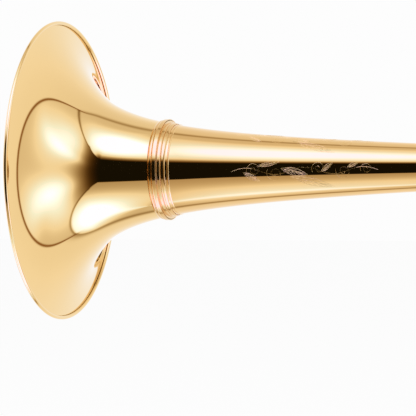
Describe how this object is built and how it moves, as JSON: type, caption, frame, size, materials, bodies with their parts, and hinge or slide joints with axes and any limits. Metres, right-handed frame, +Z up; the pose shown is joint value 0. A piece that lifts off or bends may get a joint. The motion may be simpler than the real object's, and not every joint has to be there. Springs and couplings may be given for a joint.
{
  "type": "contrabass trombone",
  "caption": "Contrabass trombone with a wide screw bell, double slide, two tilted rotary valves with levers and loops, tuning slides and a water key.",
  "frame": {"origin": "middle of the slide receiver's mouth, where the left hand holds the instrument", "axes": "+X back towards the player along the slide, bell opening towards -X, +Z up from the bell to the slide, mouthpiece side of the slide at -Y"},
  "size_m": [1.2815, 0.2666, 0.3252],
  "materials": {
    "yellow_brass": "polished, clear lacquer",
    "rose_brass": "polished, clear lacquer",
    "nickel_silver": "polished nickel silver",
    "chrome": "hard chrome, polished",
    "steel": "plain steel",
    "silver_plate": "silver plate, polished",
    "rubber": "matt",
    "cork": "natural cork"
  },
  "bodies": {
    "bell_section": {"bell_ring_rear": "rose_brass", "bell_stem": "yellow_brass", "bell_brace_front": "yellow_brass", "bell_brace_rear": "yellow_brass", "slide_receiver": "nickel_silver", "gooseneck_bow": "yellow_brass", "lower_return_tube": "yellow_brass", "wrap_brace": "yellow_brass", "loop_1_front_bow": "yellow_brass", "loop_1_middle_tube": "yellow_brass", "loop_1_upper_tube": "yellow_brass", "loop_2_front_bow": "yellow_brass", "lever_saddle": "yellow_brass", "valve_1_casing": "yellow_brass", "valve_1_bearing_plate": "nickel_silver", "valve_1_cap": "nickel_silver", "valve_1_rest_bumper": "rubber", "valve_1_turned_bumper": "rubber", "valve_1_lever_spring": "steel", "valve_2_casing": "yellow_brass", "valve_2_bearing_plate": "nickel_silver", "valve_2_cap": "nickel_silver", "valve_2_rest_bumper": "rubber", "valve_2_turned_bumper": "rubber", "valve_2_lever_spring": "steel"},
    "bell_flare_body": {"bell_flare": "yellow_brass", "bell_rim_wire": "steel", "bell_ring_front": "rose_brass"},
    "hand_slide": {"inner_tube_bell_side": "chrome", "inner_tube_mouthpiece_side": "chrome", "cork_barrel_bell_side": "nickel_silver", "cork_barrel_mouthpiece_side": "nickel_silver", "barrel_cork_bell_side": "cork", "barrel_cork_mouthpiece_side": "cork", "slide_grip_brace": "yellow_brass", "mouthpiece_receiver": "nickel_silver", "leadpipe": "rose_brass"},
    "lock_nut": {"slide_lock_nut": "nickel_silver"},
    "slide_lock": {"slide_lock_ring": "nickel_silver"},
    "outer_slide": {"outer_tube_bell_side": "yellow_brass", "outer_tube_mouthpiece_side": "yellow_brass", "outer_slide_brace": "nickel_silver", "slide_crook": "yellow_brass", "slide_bumper": "rubber", "water_key_spring": "steel"},
    "water_key": {"water_key_lever": "nickel_silver", "water_key_cork": "cork"},
    "mouthpiece_body": {"mouthpiece": "silver_plate"},
    "main_tuning": {"main_tuning_slide": "yellow_brass"},
    "loop_1_tuning": {"loop_1_tuning_slide": "yellow_brass"},
    "loop_2_tuning": {"loop_2_tuning_slide": "yellow_brass"},
    "valve_1_lever_body": {"valve_1_lever": "nickel_silver"},
    "valve_1_rod_body": {"valve_1_link_rod": "steel"},
    "valve_1_rotor_body": {"valve_1_rotor": "nickel_silver", "valve_1_stop_arm": "nickel_silver"},
    "valve_2_lever_body": {"valve_2_lever": "nickel_silver"},
    "valve_2_rod_body": {"valve_2_link_rod": "steel"},
    "valve_2_rotor_body": {"valve_2_rotor": "nickel_silver", "valve_2_stop_arm": "nickel_silver"}
  },
  "joints": [
    {"name": "bell_flare_screw", "type": "hinge", "parent": "bell_section", "child": "bell_flare_body", "pos_m": [-0.28472, 0, -0.17], "axis": [1, 0, 0], "continuous": true},
    {"name": "slide_swing", "type": "hinge", "parent": "bell_section", "child": "hand_slide", "pos_m": [0, 0, 0], "axis": [1, 0, 0], "range_deg": [-15, 15]},
    {"name": "lock_nut_turn", "type": "hinge", "parent": "hand_slide", "child": "lock_nut", "pos_m": [0, 0, 0], "axis": [1, 0, 0], "range_deg": [-180, 0]},
    {"name": "slide_lock_turn", "type": "hinge", "parent": "hand_slide", "child": "slide_lock", "pos_m": [-0.05, 0, 0], "axis": [-1, 0, 0], "range_deg": [0, 30]},
    {"name": "outer_slide_travel", "type": "slide", "parent": "hand_slide", "child": "outer_slide", "axis": [-1, 0, 0], "range_m": [0, 0.6]},
    {"name": "mouthpiece_pull", "type": "slide", "parent": "hand_slide", "child": "mouthpiece_body", "axis": [1, 0, 0], "range_m": [0, 0.04]},
    {"name": "water_key_turn", "type": "hinge", "parent": "outer_slide", "child": "water_key", "pos_m": [-0.768, 0.016, 0], "axis": [0, 0, -1], "range_deg": [0, 10], "stiffness_Nm_per_rad": 0.1, "springref_deg": -20.05},
    {"name": "main_tuning_pull", "type": "slide", "parent": "bell_section", "child": "main_tuning", "axis": [1, 0, 0], "range_m": [0, 0.04]},
    {"name": "loop_1_tuning_pull", "type": "slide", "parent": "bell_section", "child": "loop_1_tuning", "axis": [1, 0, 0], "range_m": [0, 0.04]},
    {"name": "loop_2_tuning_pull", "type": "slide", "parent": "bell_section", "child": "loop_2_tuning", "axis": [1, 0, 0], "range_m": [0, 0.04]},
    {"name": "valve_1_lever_turn", "type": "hinge", "parent": "bell_section", "child": "valve_1_lever_body", "pos_m": [0.062, 0.00097, 0.00209], "axis": [0, -0.9063, 0.4226], "range_deg": [0, 24], "stiffness_Nm_per_rad": 0.15, "springref_deg": -28.65},
    {"name": "valve_1_rod_turn", "type": "hinge", "parent": "valve_1_lever_body", "child": "valve_1_rod_body", "pos_m": [0.05528, -0.01238, -0.02656], "axis": [0, -0.9063, 0.4226], "range_deg": [-24, 0]},
    {"name": "valve_1_rotor_turn", "type": "hinge", "parent": "bell_section", "child": "valve_1_rotor_body", "pos_m": [0.115, -0.00954, -0.02047], "axis": [0, -0.9063, 0.4226], "range_deg": [0, 90]},
    {"name": "valve_2_lever_turn", "type": "hinge", "parent": "bell_section", "child": "valve_2_lever_body", "pos_m": [0.062, -0.00097, 0.00209], "axis": [0, -0.9063, -0.4226], "range_deg": [0, 24], "stiffness_Nm_per_rad": 0.15, "springref_deg": -28.65},
    {"name": "valve_2_rod_turn", "type": "hinge", "parent": "valve_2_lever_body", "child": "valve_2_rod_body", "pos_m": [0.05528, 0.01238, -0.02656], "axis": [0, -0.9063, -0.4226], "range_deg": [-24, 0]},
    {"name": "valve_2_rotor_turn", "type": "hinge", "parent": "bell_section", "child": "valve_2_rotor_body", "pos_m": [0.18035, 0.00954, -0.02047], "axis": [0, -0.9063, -0.4226], "range_deg": [0, 90]}
  ],
  "couplings": [
    {"joint": "valve_1_rod_turn", "follows": "valve_1_lever_turn", "ratio": -1},
    {"joint": "valve_1_rotor_turn", "follows": "valve_1_lever_turn", "ratio": 3.75},
    {"joint": "valve_2_rod_turn", "follows": "valve_2_lever_turn", "ratio": -1},
    {"joint": "valve_2_rotor_turn", "follows": "valve_2_lever_turn", "ratio": 3.75}
  ]
}
